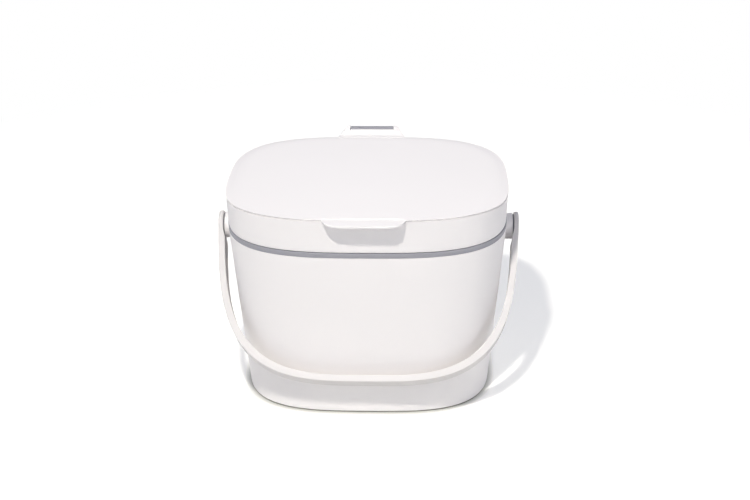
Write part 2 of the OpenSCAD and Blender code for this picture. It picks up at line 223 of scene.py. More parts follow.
def turned(profile, at, steps):
    """Rings of a surface turned about an axis along X through at = (y, z); profile lists (x, radius)."""
    return [[(x, at[0] + r * math.cos(t), at[1] + r * math.sin(t)) for t in full_turn(steps)]
            for x, r in profile]


def sines(start, end, steps):
    """(sine, cosine) at even steps of an angle given in degrees, both ends counted in."""
    angles = [math.radians(a) for a in np.linspace(start, end, steps + 1)]
    return [(math.sin(a), math.cos(a)) for a in angles]


def arc(centre, r, start, end, steps):
    """Points of a plane arc, angles in degrees."""
    return [(centre[0] + r * c, centre[1] + r * s) for s, c in sines(start, end, steps)]


def ease(t):
    """Smooth step from 0 to 1."""
    u = min(max(t, 0.0), 1.0)
    return u * u * (3 - 2 * u)


def mix(a, b, t):
    return a + (b - a) * t


# ---------------------------------------------------------------- outlines

OVAL_ANGLES = full_turn(240)


def oval(half_w, half_d, power, z, angles=OVAL_ANGLES):
    """Closed ring of points on a superellipse."""
    c, s = np.cos(angles), np.sin(angles)
    k = (np.abs(c) ** power + np.abs(s) ** power) ** (-1 / power)
    return list(zip(half_w * k * c, half_d * k * s, np.full(len(angles), z)))


def bucket_half_w(z):
    return RIM_HALF_W - SIDE_TAPER * (1 - z / BUCKET_H)


def bucket_half_d(z):
    return RIM_HALF_D - FRONT_TAPER * (1 - z / BUCKET_H)


def bucket_power(z):
    return BASE_POWER + (RIM_POWER - BASE_POWER) * z / BUCKET_H


def bucket_oval(inset, z):
    return oval(bucket_half_w(z) - inset, bucket_half_d(z) - inset, bucket_power(z), z)


def rim_oval(inset, z, angles=OVAL_ANGLES):
    return oval(RIM_HALF_W - inset, RIM_HALF_D - inset, RIM_POWER, z, angles)


def wall_x(y, z):
    """Where the bucket's outer wall lies on the right-hand side."""
    power = bucket_power(z)
    return bucket_half_w(z) * (1 - (abs(y) / bucket_half_d(z)) ** power) ** (1 / power)


# ---------------------------------------------------------------- materials


def linear(hex_colour):
    """Shader colour from an sRGB hex value."""
    parts = [int(hex_colour[i:i + 2], 16) / 255 for i in (1, 3, 5)]
    return [p / 12.92 if p <= 0.04045 else ((p + 0.055) / 1.055) ** 2.4 for p in parts] + [1.0]


def add_node(tree, kind, inputs=None, **settings):
    """One shader node with its settings; an input that is a socket is linked, any other is set."""
    made = tree.nodes.new(kind)
    for key, value in settings.items():
        setattr(made, key, value)
    for key, value in (inputs or {}).items():
        if isinstance(value, bpy.types.NodeSocket):
            tree.links.new(value, made.inputs[key])
        else:
            made.inputs[key].default_value = value
    return made


def empty_material(name):
    """A new material and its cleared node tree."""
    material = bpy.data.materials.new(name)
    material.use_nodes = True
    material.node_tree.nodes.clear()
    return material, material.node_tree


def moulded_plastic(name, colour, shade, ior, roughness, grain_mm, grain_depth, specular=0.5):
    """Injection-moulded plastic: a colour that drifts a little, and a spark-eroded grain."""
    material, tree = empty_material(name)
    place = add_node(tree, "ShaderNodeTexCoord").outputs["Object"]
    drift = add_node(tree, "ShaderNodeTexNoise", {
        "Vector": place, "Scale": 1 / (55 * MM), "Detail": 1.5, "Roughness": 0.4}).outputs["Fac"]
    tint = add_node(tree, "ShaderNodeMix", {"Factor": drift, "A": linear(colour), "B": linear(shade)},
                    data_type="RGBA")
    grain = add_node(tree, "ShaderNodeTexNoise", {
        "Vector": place, "Scale": 1 / (grain_mm * MM), "Detail": 2.0, "Roughness": 0.55}).outputs["Fac"]
    gloss = add_node(tree, "ShaderNodeMapRange", {
        "Value": grain, "From Min": 0.3, "From Max": 0.7,
        "To Min": roughness - 0.03, "To Max": roughness + 0.03}).outputs["Result"]
    relief = add_node(tree, "ShaderNodeBump", {
        "Height": grain, "Strength": 0.35, "Distance": grain_depth * MM}).outputs["Normal"]
    shader = add_node(tree, "ShaderNodeBsdfPrincipled", {
        "Base Color": tint.outputs[2], "Roughness": gloss, "Normal": relief,
        "IOR": ior, "Specular IOR Level": specular})
    add_node(tree, "ShaderNodeOutputMaterial", {"Surface": shader.outputs["BSDF"]})
    return material


# ABS, moulded in a satin tool: a warm white with a soft sheen and no visible grain from arm's length.
# Its grain is 0.25 mm on the part and is drawn at 0.9 mm, so that it shows at all.
white_abs = moulded_plastic(
    "white_abs_moulded", "#F4F1EF", "#F2EFED", 1.52, 0.52, 0.9, 0.012, 0.3)
# The same ABS in a slightly greyer, glossier mix, inside the lid: the open lid reads against the shell.
white_abs_inner = moulded_plastic(
    "white_abs_inner_moulded", "#E2DFDD", "#DFDCDA", 1.52, 0.46, 0.9, 0.018)
# Polypropylene of the handle: duller and matter than the shell, so its narrow edge takes no glare.
# Its white is painted a little darker than the shell's white: painted shade that holds down the key light
# on the grip.
white_pp = moulded_plastic(
    "white_polypropylene_moulded", "#DDDAD8", "#DBD8D6", 1.49, 0.6, 0.9, 0.01, 0.25)
# Mid-grey ABS trim with a satin face, of the rim band, the hinge bracket, the pin caps and the bushes.
grey_abs = moulded_plastic(
    "grey_abs_moulded", "#9B9BA1", "#97979D", 1.52, 0.48, 0.7, 0.016)
# Thermoplastic rubber of the foot pad, the seal and the washers: matt and darker, with a deeper grain
# that grips.
grey_rubber = moulded_plastic(
    "grey_rubber_moulded", "#85858A", "#7F7F84", 1.5, 0.72, 0.8, 0.03)


def stainless_steel(name, streak_axis):
    """Drawn stainless steel: light grey metal with fine streaks along one axis."""
    material, tree = empty_material(name)
    place = add_node(tree, "ShaderNodeTexCoord").outputs["Object"]
    stretch = [1 / (0.25 * MM)] * 3
    stretch[streak_axis] = 1 / (12 * MM)
    lines = add_node(tree, "ShaderNodeMapping", {"Vector": place, "Scale": stretch}).outputs["Vector"]
    streaks = add_node(tree, "ShaderNodeTexNoise", {
        "Vector": lines, "Scale": 1.0, "Detail": 2.0}).outputs["Fac"]
    gloss = add_node(tree, "ShaderNodeMapRange", {"Value": streaks, "To Min": 0.24, "To Max": 0.4})
    relief = add_node(tree, "ShaderNodeBump", {
        "Height": streaks, "Strength": 0.3, "Distance": 0.01 * MM})
    shader = add_node(tree, "ShaderNodeBsdfPrincipled", {
        "Base Color": linear("#C9C8C5"), "Metallic": 1.0, "Roughness": gloss.outputs["Result"],
        "Normal": relief.outputs["Normal"]})
    add_node(tree, "ShaderNodeOutputMaterial", {"Surface": shader.outputs["BSDF"]})
    return material


# Hinge pin: the streaks run along the drawn wire. Screws: they run along the shank, so that the head
# shows their ends as a fine grain.
steel_wire = stainless_steel("stainless_steel_turned", 0)
steel_screw = stainless_steel("stainless_steel_screw", 1)

# ---------------------------------------------------------------- bucket


def bucket_shell():
    """The tapered shell, from the pad's recess round the base edge, over the rim, down to the floor."""
    outer = [
        bucket_oval(PAD_INSET + 0.4, PAD_TOP),
        bucket_oval(PAD_INSET, PAD_TOP),
        bucket_oval(PAD_INSET, BASE_Z + 0.2),
        bucket_oval(PAD_INSET - 0.2, BASE_Z),
        bucket_oval(BASE_EDGE_R + 0.6, BASE_Z),
    ]
    outer += [bucket_oval(BASE_EDGE_R * (1 - s), BASE_Z + BASE_EDGE_R * (1 - c))
              for s, c in sines(0, 90, 6)]
    outer += [bucket_oval(0, z) for z in np.linspace(BASE_Z + BASE_EDGE_R + 0.8, BUCKET_H - 0.6, 10)]
    outer += [bucket_oval(0.02, BUCKET_H - 0.3), bucket_oval(0.22, BUCKET_H - 0.06),
              bucket_oval(0.5, BUCKET_H)]
    rim = [rim_oval(BAND_T, BUCKET_H), rim_oval(BAND_T, TONGUE_TOP), rim_oval(WALL, TONGUE_TOP)]
    inner = [bucket_oval(WALL, z) for z in np.linspace(BUCKET_H, FLOOR_Z + FLOOR_FILLET_R, 8)]
    inner += [bucket_oval(WALL + FLOOR_FILLET_R * (1 - s), FLOOR_Z + FLOOR_FILLET_R * (1 - c))
              for s, c in sines(90, 0, 10)[1:]]
    inner.append(bucket_oval(WALL + FLOOR_FILLET_R + 0.6, FLOOR_Z))
    return loft(outer + rim + inner)


def boss():
    """Round boss on the right-hand wall: it grows out of the wall with a fillet and ends flat."""
    root_fillet, edge_r, bore_depth, steps = 1.1, 0.5, 4, 96

    def on_wall(r, height):
        ring = []
        for t in full_turn(steps):
            y, z = r * math.cos(t), PIVOT_Z + r * math.sin(t)
            ring.append((wall_x(y, z) + height, y, z))
        return ring

    rings = [on_wall(BOSS_R + root_fillet + 0.3, -0.15)]
    rings += [on_wall(BOSS_R + root_fillet * (1 - s), root_fillet * (1 - c)) for s, c in sines(0, 90, 5)]
    end = [(BOSS_END - edge_r * (1 - s), BOSS_R - edge_r * (1 - c)) for s, c in sines(0, 90, 4)]
    end += [(BOSS_END, BOSS_R - edge_r - 0.4), (BOSS_END, BOSS_BORE_R),
            (BOSS_END - bore_depth, BOSS_BORE_R)]
    return loft(rings + turned(end, (0, PIVOT_Z), steps), cap_start=False)


def soft_block(lo, hi):
    """Block with all its edges rounded: rounded rectangles set one behind the other along X."""
    r, steps = 0.6, 3
    corners = [((hi[1] - r, hi[2] - r), 0), ((lo[1] + r, hi[2] - r), 90),
               ((lo[1] + r, lo[2] + r), 180), ((hi[1] - r, lo[2] + r), 270)]
    rings = []
    for x, inset in ((lo[0], r * 0.7), (lo[0] + r * 0.3, r * 0.25), (lo[0] + r, 0),
                     (hi[0] - r, 0), (hi[0] - r * 0.3, r * 0.25), (hi[0], r * 0.7)):
        rings.append([(x, y, z) for centre, a in corners
                      for y, z in arc(centre, r - inset, a, a + 90, steps)])
    return loft(rings)


right_boss = boss()
mount_pad = soft_block((-BRACKET_HALF_W, RIM_HALF_D - WALL, bracket_lo.z),
                       (BRACKET_HALF_W, bracket_lo.y, bracket_lo.z + MOUNT_PAD_H))
mesh_piece("caddy_bucket", "bucket", ["bucket"], white_abs, [
    bucket_shell(), right_boss, mirrored(right_boss), mount_pad])


def rim_band():
    """Grey ring clipped over the rim: the band that shows, the land for the seal and the inner clip."""
    clip = WALL + SNUG
    low, edge = BUCKET_H + 0.05, 0.25
    return loft([
        bucket_oval(clip + CLIP_T - 0.3, BUCKET_H - CLIP_H),
        bucket_oval(clip + 0.2, BUCKET_H - CLIP_H),
        bucket_oval(clip, BUCKET_H - CLIP_H + 0.2),
        rim_oval(clip, BUCKET_H),
        rim_oval(clip, TONGUE_TOP),
        rim_oval(BAND_T, TONGUE_TOP),
        rim_oval(BAND_T, low),
        rim_oval(edge, low),
        rim_oval(edge * 0.3, low + edge * 0.3),
        rim_oval(0, low + edge),
        rim_oval(0, RING_TOP - 0.5),
        rim_oval(0.15, RING_TOP - 0.15),
        rim_oval(0.5, RING_TOP),
        rim_oval(RING_LAND_W - 0.5, RING_TOP),
        rim_oval(RING_LAND_W - 0.15, RING_TOP - 0.15),
        rim_oval(RING_LAND_W, RING_TOP - 0.5),
        rim_oval(RING_LAND_W, RING_TOP - RING_TOP_T + 0.2),
        rim_oval(RING_LAND_W - 0.2, RING_TOP - RING_TOP_T),
        rim_oval(clip + CLIP_T, RING_TOP - RING_TOP_T - 0.4),
        bucket_oval(clip + CLIP_T, BUCKET_H - CLIP_H + 0.3)], closed=True)


mesh_piece("rim_band", "bucket", ["rim_ring"], grey_abs, [rim_band()])


def base_pad():
    """Non-slip pad in the underside: a raised border and shallow ribs round a flat middle."""
    ribs, rib_pitch, groove_z = 7, 6, pad_lo.z + 0.25
    rings = [bucket_oval(PAD_INSET + 60, groove_z)]
    for i in range(ribs):
        inner = PAD_INSET + 44 - rib_pitch * i
        rings += [bucket_oval(inner, groove_z), bucket_oval(inner - 0.5, pad_lo.z),
                  bucket_oval(inner - 2.5, pad_lo.z), bucket_oval(inner - 3, groove_z)]
    rings += [bucket_oval(PAD_INSET + 0.8, pad_lo.z), bucket_oval(PAD_INSET + 0.3, pad_lo.z + 0.1),
              bucket_oval(PAD_INSET + 0.1, pad_lo.z + 0.35), bucket_oval(PAD_INSET + 0.1, pad_hi.z)]
    return loft(rings)


mesh_piece("non_slip_pad", "bucket", ["base_pad"], grey_rubber, [base_pad()], 60)

# ---------------------------------------------------------------- hinge


def hinge_bracket():
    """Plate, knuckle and the flat stop behind it: one (y, z) outline drawn across its width."""
    plate_front, plate_back = bracket_lo.y - HINGE_Y, bracket_lo.y + BRACKET_T - HINGE_Y
    stop_y = bracket_hi.y - HINGE_Y
    bottom = bracket_lo.z - HINGE_Z
    front_angle = 180 + math.degrees(math.acos(-plate_front / BRACKET_KNUCKLE_R))
    outline = [(plate_back, bottom + 0.4), (plate_back - 0.4, bottom), (plate_front + 0.4, bottom),
               (plate_front, bottom + 0.4), (plate_front, -20)]
    outline += arc((0, 0), BRACKET_KNUCKLE_R, front_angle, 105, 14)
    outline += [(stop_y - 0.6, 2.74), (stop_y - 0.15, 2.55), (stop_y, 2.2), (stop_y, 0.3),
                (stop_y - 0.2, -0.1), (0.5, -3.4), (plate_back + 0.35, -4.4), (plate_back, -5.4)]
    rings = []
    edge = 0.35
    for x, inset in ((-BRACKET_HALF_W, edge), (-BRACKET_HALF_W + edge, 0),
                     (BRACKET_HALF_W - edge, 0), (BRACKET_HALF_W, edge)):
        ring = []
        for y, z in outline:
            away = Vector((y, z)) - Vector((min(max(y, plate_front), plate_back), z * 0.96))
            pull = away.normalized() * inset if away.length > 1e-6 else Vector((0, 0))
            ring.append((x, HINGE_Y + y - pull.x, HINGE_Z + z - pull.y))
        rings.append(ring[::-1])
    return loft(rings)


mesh_piece("hinge_bracket_plate", "bucket", ["hinge_bracket"], grey_abs,
           [hinge_bracket()], 30)


def cross_screw(x):
    """Pan-head screw with a cross recess, driven in from behind; only the head stands clear."""
    head_r, head_t, shank_r, shank_l, slot_half = 3.1, 1.9, 1.5, 8, 0.34
    seat = screw_hi.y - head_t
    z0 = (screw_lo.z + screw_hi.z) / 2
    profile = [(shank_r, -shank_l), (shank_r, 0),
               (head_r - 0.2, 0.0), (head_r, 0.25), (head_r, head_t * 0.4)]
    profile += [(head_r * math.cos(a) ** 0.7, head_t * (0.4 + 0.6 * math.sin(a)))
                for a in (0.35, 0.7, 1.0, 1.25)]
    turn = full_turn(48)
    rings = [[(x + r * math.sin(t), seat + h, z0 + r * math.cos(t)) for t in turn] for r, h in profile]
    # The recess: the innermost rings dip where they cross the two slots
    for r, drop in ((1.35, 0.0), (1.3, 0.9), (0.4, 1.0)):
        ring = []
        for t in turn:
            in_slot = min(abs(math.sin(t)), abs(math.cos(t))) * r < slot_half
            face = seat + head_t - (drop if in_slot else 0.0)
            ring.append((x + r * math.sin(t), face, z0 + r * math.cos(t)))
        rings.append(ring)
    return loft(rings, cap_start=False)


for side, name in ((-1, "left"), (1, "right")):
    mesh_piece("bracket_screw_" + name, "bucket", ["hinge_screw_" + name], steel_screw,
               [cross_screw(side * (screw_lo.x + screw_hi.x) / 2)])

pin_half = TAB_HALF_W - 0.6
pin_profile = [(-pin_half, HINGE_PIN_R - 0.3), (-pin_half + 0.3, HINGE_PIN_R),
               (pin_half - 0.3, HINGE_PIN_R), (pin_half, HINGE_PIN_R - 0.3)]
mesh_piece("hinge_pin_steel", "lid", ["hinge_pin"], steel_wire,
           [loft([r[::-1] for r in turned(pin_profile, (HINGE_Y, HINGE_Z), 32)])])

# ---------------------------------------------------------------- lid


def lid_angles():
    """Directions round the lid, close together where the finger lip grows out."""
    half = math.atan(LIP_WINDOW / (RIM_HALF_D + LID_OVERHANG))
    fine = np.linspace(-math.pi / 2 - half, -math.pi / 2 + half, 121)
    coarse = np.linspace(-math.pi / 2 + half, 3 * math.pi / 2 - half, 221)[1:-1]
    return np.concatenate([fine, coarse])


LID_ANGLES = lid_angles()


def lid_lean(z):
    return LID_DRAFT * (LID_TOP - z) / LID_H - LID_OVERHANG


def lip_share(x, y):
    """How far the lip stands out at a point of the edge, from 0 to 1, with a fillet at its root."""
    if y > 0:
        return 0.0
    soft = 0.04
    share = 1 - abs(2 * x / LIP_ROOT_W) ** LIP_POWER
    return (share + math.hypot(share, soft)) / (1 + math.hypot(1, soft))


def crown(depth, y):
    """How far the top has sunk, depth in from the lid's edge: a soft shoulder, flat at the front."""
    at_front = ease((-y / RIM_HALF_D - 0.55) / 0.35)
    return CROWN_DROP * max(1 - depth / CROWN_W, 0) ** 2.2 * (1 - at_front)


def lid_outer():
    """Skirt, fine groove, rounded top edge and top face; at the lip, the edge flows out into it."""
    edge = rim_oval(lid_lean(LID_TOP), LID_TOP, LID_ANGLES)
    shares = [lip_share(x, y) for x, y, z in edge]
    sinks = [crown(0, y) for x, y, z in edge]

    def ring(place):
        """place(share) gives (inset, z, stand-out) of a plain edge at 0 and of the full lip at 1."""
        made = []
        for share, sink, angle in zip(shares, sinks, LID_ANGLES):
            inset, z, stand = place(share)
            x, y, z = rim_oval(inset, z, np.array([angle]))[0]
            made.append((x, y - stand, z - sink))
        return made

    rings = [rim_oval(lid_lean(LID_EDGE_Z) + 0.25, LID_EDGE_Z, LID_ANGLES),
             rim_oval(lid_lean(LID_EDGE_Z) + 0.07, LID_EDGE_Z + 0.07, LID_ANGLES),
             rim_oval(lid_lean(LID_EDGE_Z), LID_EDGE_Z + 0.25, LID_ANGLES)]
    rings += [rim_oval(lid_lean(z), z, LID_ANGLES)
              for z in np.linspace(LID_EDGE_Z + 0.8, LID_TOP - 7, 8)]
    # Under the edge: the fine groove, which becomes the fillet under the lip
    top_lean = lid_lean(LID_TOP)
    for lean, cut_in, drop, lip_drop, lip_out in (
            (lid_lean(LID_TOP - 5), 0, 4.2, 5, 0),
            (lid_lean(LID_TOP - LINE_LOW), 0, LINE_LOW + 0.12, 4.4, 0.12),
            (top_lean, LINE_DEPTH, LINE_LOW, 3.9, 0.6),
            (top_lean, LINE_DEPTH, LINE_HIGH, 3.6, LIP_REACH * 0.3),
            (top_lean, 0.06, EDGE_R, LIP_DROP + LIP_T + 0.25, LIP_REACH - 1.2)):
        rings.append(ring(lambda q: (
            lean + mix(cut_in, 0, q), LID_TOP - mix(drop, lip_drop, q), lip_out * q)))
    # The edge itself: a quarter round on a plain edge, a half round on the lip's front
    lip_r = LIP_T / 2
    lip_centre = LID_TOP - LIP_DROP + 0.1 - lip_r
    for t in np.linspace(0, 1, 9):
        def rolled(q, t=t):
            a = math.radians(mix(mix(0, -90, q), 90, t))
            r = mix(EDGE_R, lip_r, q)
            rise, out = (mix(v, math.copysign(abs(v) ** 0.55, v), q)  # the lip's nose is a little square
                         for v in (math.sin(a), math.cos(a)))
            inset = top_lean + (EDGE_R - EDGE_R * math.cos(a)) * (1 - q)
            z = mix(LID_TOP - EDGE_R, lip_centre, q) + r * rise
            return inset, z, q * (LIP_REACH - lip_r + lip_r * out)
        rings.append(ring(rolled))
    # The lip's top sinks toward its root, then turns up into the lid's top a little way in from the edge
    front_drop, root_drop, turn_at = LID_TOP - lip_centre - lip_r, 0.85, 0.9
    for t in (0.1, 0.25, 0.4, 0.55, 0.7, 0.78, 0.84, 0.9, 0.95, 1.0):
        def top(q, t=t):
            inset = top_lean + EDGE_R + t * mix(0.5, 3.4, q)
            stand = q * (LIP_REACH - lip_r) * (1 - t)
            if t < turn_at:
                sunk = mix(front_drop, root_drop, t / turn_at)
            else:
                sunk = mix(root_drop, 0, ease((t - turn_at) / (1 - turn_at)))
            return inset, LID_TOP - q * sunk, stand
        rings.append(ring(top))
    for depth in (EDGE_R + 3.8, 6, 8, 10, 12, 16):
        rings.append([(x, y, z - crown(depth, y))
                      for x, y, z in rim_oval(top_lean + depth, LID_TOP, LID_ANGLES)])
    return loft(rings, cap_start=False)


def lid_inner():
    """Inside of the skirt, its bottom edge and the land that the inner panel snaps into."""
    rings = [rim_oval(SKIRT_INSET - 0.3, LID_EDGE_Z, LID_ANGLES),
             rim_oval(lid_lean(LID_EDGE_Z) + 0.25, LID_EDGE_Z, LID_ANGLES)]
    inner = [rim_oval(8, LID_TOP - LID_WALL, LID_ANGLES),
             rim_oval(lid_lean(LID_TOP) + LID_WALL, LID_TOP - LID_WALL - 3, LID_ANGLES),
             rim_oval(SKIRT_INSET, FLANGE_TOP, LID_ANGLES),
             rim_oval(SKIRT_INSET, LID_EDGE_Z + 0.3, LID_ANGLES)]
    return loft(inner + rings, cap_end=False)


def tab_top(y):
    """Height of the tab's top face over the hinge axis; y is negative in front of the axis."""
    return -0.3 + (KNUCKLE_R + 0.25) * (1 - min(-y / HINGE_OUT, 1) ** 1.4)


def tab_half_w(y):
    return mix(TAB_HALF_W, TAB_ROOT_HALF_W, min(-y / HINGE_OUT, 1) ** 2)


def rear_tab():
    """Web from the lid's rear edge up to the knuckles, with rounded long edges."""
    bottom, r = TAB_BOTTOM, TAB_EDGE_R
    rings = []
    end = -BRACKET_KNUCKLE_R - NOTCH_GAP
    for y in (-HINGE_OUT - 4, -HINGE_OUT - 1.2, -HINGE_OUT, -8, -7.2, -6.4, -5.6, -4.9, end - 0.25, end):
        half, top = tab_half_w(y), tab_top(y)
        if y == end:
            top -= 0.12
        ring = [(-half, bottom + r)] + arc((-half + r, top - r), r, 180, 90, 4)
        ring += arc((half - r, top - r), r, 90, 0, 4) + [(half, bottom + r)]
        ring += arc((half - r, bottom + r), r, 0, -90, 3) + arc((-half + r, bottom + r), r, -90, -180, 3)
        rings.append([(x, HINGE_Y + y, HINGE_Z + z) for x, z in ring[::-1]])
    return loft(rings)


def knuckle():
    """The right-hand one of the two knuckles, with its outer end rounded off."""
    end_r = KNUCKLE_END_R
    profile = [(NOTCH_HALF_W, 1.6), (NOTCH_HALF_W, KNUCKLE_R - 0.3),
               (NOTCH_HALF_W + 0.1, KNUCKLE_R - 0.09), (NOTCH_HALF_W + 0.3, KNUCKLE_R)]
    profile += [(TAB_HALF_W - end_r + end_r * math.sin(a), KNUCKLE_R - end_r + end_r * math.cos(a))
                for a in np.linspace(0.0, math.pi / 2, 10)]
    rings = turned(profile + [(TAB_HALF_W, 0.6)], (HINGE_Y, HINGE_Z), 72)
    return loft([ring[::-1] for ring in rings])


def knuckle_web():
    """Fills the corner between the right-hand knuckle and the tab in front of it."""
    bottom, r = -3.4, TAB_EDGE_R
    rings = []
    for y in (-HINGE_OUT + 1, -7, -6, -5, -4, -3, -2, -1.0, 0):
        top = tab_top(y)
        if y >= -1:  # over the axis the web stays just inside the knuckle's round
            top = min(top, math.sqrt(KNUCKLE_R ** 2 - y * y) + 0.001) - 0.02
        half = tab_half_w(y) - 1.12 * max(0, (y + 4) / 4)  # it draws in toward the axis
        ring = [(NOTCH_HALF_W + 0.02, bottom), (NOTCH_HALF_W + 0.02, top - 0.3),
                (NOTCH_HALF_W + 0.3, top)]
        ring += arc((half - r, top - r), r, 90, 0, 4) + [(half, bottom + 0.8), (half - 0.8, bottom)]
        rings.append([(x, HINGE_Y + y, HINGE_Z + z) for x, z in ring[::-1]])
    return loft(rings)


right_knuckle, right_web = knuckle(), knuckle_web()
mesh_piece("lid_outer_shell", "lid", ["lid_shell"], white_abs, [
    lid_outer(), lid_inner(), rear_tab(),
    right_knuckle, mirrored(right_knuckle), right_web, mirrored(right_web)])


def lid_panel():
    """Inner panel: a shallow tray with a drip edge and a flange that snaps into the shell."""
    wall_in, half_t, drip_r = DRIP_INSET + LINER_T, LINER_T / 2, 0.8
    corner = LINER_CORNER_R
    top_z, under_z, drip_z = liner_hi.z, liner_hi.z - LINER_T, liner_lo.z + drip_r
    rings = [rim_oval(wall_in + corner + 6, under_z), rim_oval(wall_in + corner + 0.8, under_z)]
    rings += [rim_oval(wall_in + corner * (1 - c), under_z - corner * (1 - s))
              for s, c in sines(90, 0, 7)]
    rings += [rim_oval(wall_in, z) for z in (under_z - corner - 1, drip_z)]
    rings += [rim_oval(DRIP_INSET + half_t + half_t * math.cos(a), drip_z - drip_r * math.sin(a))
              for a in np.linspace(0, math.pi, 7)]
    rings += [rim_oval(DRIP_INSET, FLANGE_Z - 0.4), rim_oval(DRIP_INSET - 0.15, FLANGE_Z),
              rim_oval(SKIRT_INSET + 0.4, FLANGE_Z), rim_oval(SKIRT_INSET + SNUG, FLANGE_Z + 0.3),
              rim_oval(SKIRT_INSET + SNUG, FLANGE_TOP), rim_oval(DRIP_INSET, FLANGE_TOP)]
    rings += [rim_oval(DRIP_INSET + corner * (1 - c), top_z - corner * (1 - s))
              for s, c in sines(0, 90, 5)]
    return loft(rings)


mesh_piece("lid_inner_panel", "lid", ["lid_liner"], white_abs_inner, [lid_panel()])


def lip_seal():
    """Soft ring under the flange, with a rounded lower lip."""
    inset, width, lip_r = RIM_HALF_W - seal_hi.x, 2.0, 0.9
    lip_z = seal_lo.z + lip_r
    rings = [rim_oval(inset + width, FLANGE_Z), rim_oval(inset + width, lip_z)]
    rings += [rim_oval(inset + width / 2 + width / 2 * math.cos(a), lip_z - lip_r * math.sin(a))
              for a in np.linspace(0.2, math.pi - 0.2, 8)]
    rings += [rim_oval(inset, lip_z), rim_oval(inset, FLANGE_Z)]
    return loft(rings, closed=True)


mesh_piece("lid_seal_ring", "lid", ["lid_seal"], grey_rubber, [lip_seal()])

# ---------------------------------------------------------------- handle


def strap_half_w(r):
    """Half width of the strap at a distance from the pivot axis."""
    return mix(STRAP_ROOT_W, GRIP_W, min(r / STRAP_NARROW_R, 1)) / 2


def bail_point(a, depth):
    """(x, r) on the bail's curve, moved in by depth; a is 0 at the axis, a quarter turn at the grip."""
    r = (GRIP_OUTER_R - depth) * math.sin(a) ** (2 / BAIL_POWER_R)
    return (END_OUTER_X - depth - ARM_LEAN * r) * math.cos(a) ** (2 / BAIL_POWER_X), r


def solve_bail():
    """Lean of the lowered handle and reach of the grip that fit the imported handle's box."""
    front, low = -handle_lo.y, PIVOT_Z - handle_lo.z
    half = GRIP_W / 2
    best = None
    for lean in np.linspace(math.radians(40), math.radians(52), 2401):
        reach = (low - half * math.sin(lean)) / math.cos(lean)
        miss = abs(reach * math.sin(lean) + half * math.cos(lean) - front)
        if best is None or miss < best[0]:
            best = (miss, lean, reach)
    return best[1], best[2]


HANDLE_LEAN, GRIP_OUTER_R = solve_bail()


def section(half, depth, edge=STRAP_EDGE_R):
    """Rounded rectangle of a strap as (y, depth under the outer face), the same count for every size."""
    steps, columns = 3, 7
    e = min(edge, half * 0.8, depth * 0.45)
    points = [(half - e + e * c, e - e * s) for s, c in sines(90, 0, steps)]
    points += [(half - e + e * c, depth - e - e * s) for s, c in sines(0, -90, steps)]
    inner = [(y, depth) for y in np.linspace(half - e, e - half, columns)[1:-1]]
    lower = [(-y, d) for y, d in points[::-1]]
    outer = [(y, 0.0) for y in np.linspace(e - half, half - e, columns)[1:-1]]
    return points + inner + lower + outer


def strap_rings():
    """Sections of the bail from the top of one round end, down the arm, to the grip's middle."""
    rings = [[(END_OUTER_X - d, y * s, -abs(y) * c) for y, d in section(END_R, END_T)]
             for s, c in sines(0.0, 90.0, 14)[:-1]]
    arm_reaches = (0.01, 2, 4, 6, 8, 9.5, 10.5, 11.5, 12.5, 13.5, 14.5, 15.5, 17, 20, 24, 29, 35, 42)
    stations = [math.asin((r / GRIP_OUTER_R) ** (BAIL_POWER_R / 2)) for r in arm_reaches]
    stations += list(np.linspace(stations[-1], math.pi / 2 - 1e-6, 70)[1:])
    for a in stations:
        r_out = bail_point(a, 0)[1]
        half = strap_half_w(r_out)
        if r_out < END_R:
            half = max(half, math.sqrt(END_R ** 2 - r_out ** 2))
        ring = []
        for y, d in section(half, 1.0, STRAP_EDGE_R / STRAP_T):
            span = math.hypot(y, r_out)
            depth = mix(END_T, STRAP_T, ease((span - SHOULDER_R) / (SHOULDER_END_R - SHOULDER_R)))
            x, r = bail_point(a, d * depth)
            if span < SHOULDER_R:
                x = min(max(x, END_INNER_X), END_OUTER_X)
            ring.append((x, y, r))
        rings.append(ring)
    return rings


def bail():
    """The whole handle in one skin, leaned against the bucket's front as it hangs lowered."""
    half = strap_rings()
    other = [[(-x, y, r) for x, y, r in ring] for ring in half[:-1]][::-1]
    rings = []
    s, c = math.sin(HANDLE_LEAN), math.cos(HANDLE_LEAN)
    for ring in half + other:
        rings.append([(x, y * c - r * s, PIVOT_Z - r * c - y * s) for x, y, r in ring])
    return loft([ring[::-1] for ring in rings])


mesh_piece("carry_handle", "handle", ["handle"], white_pp, [bail()], 50)


def pivot_pin():
    """Snap-in pin: its head lies flush in the handle's round end, with a fine gap round it."""
    under_head = END_OUTER_X - PIN_HEAD_T
    profile = [(END_OUTER_X + 0.02, 0.01), (END_OUTER_X + 0.02, PIN_HEAD_R - 0.35),
               (END_OUTER_X - 0.08, PIN_HEAD_R - 0.08), (END_OUTER_X - 0.3, PIN_HEAD_R),
               (under_head, PIN_HEAD_R), (under_head, PIN_SHAFT_R), (bush_lo.x - 0.05, PIN_SHAFT_R),
               (bush_lo.x - 0.55, PIN_SNAP_R), (bush_lo.x - 1.05, 2.6), (bush_lo.x - 1.05, 0.01)]
    return loft(turned(profile, (0, PIVOT_Z), 64))


def flat_ring(inner_r, outer_r, x0, x1):
    """Plain ring round the pivot axis, its outer edges broken."""
    edge = 0.15
    profile = [(x0, inner_r), (x1, inner_r), (x1, outer_r - edge), (x1 - edge, outer_r),
               (x0 + edge, outer_r), (x0, outer_r - edge)]
    return loft([ring[::-1] for ring in turned(profile, (0, PIVOT_Z), 64)], closed=True)


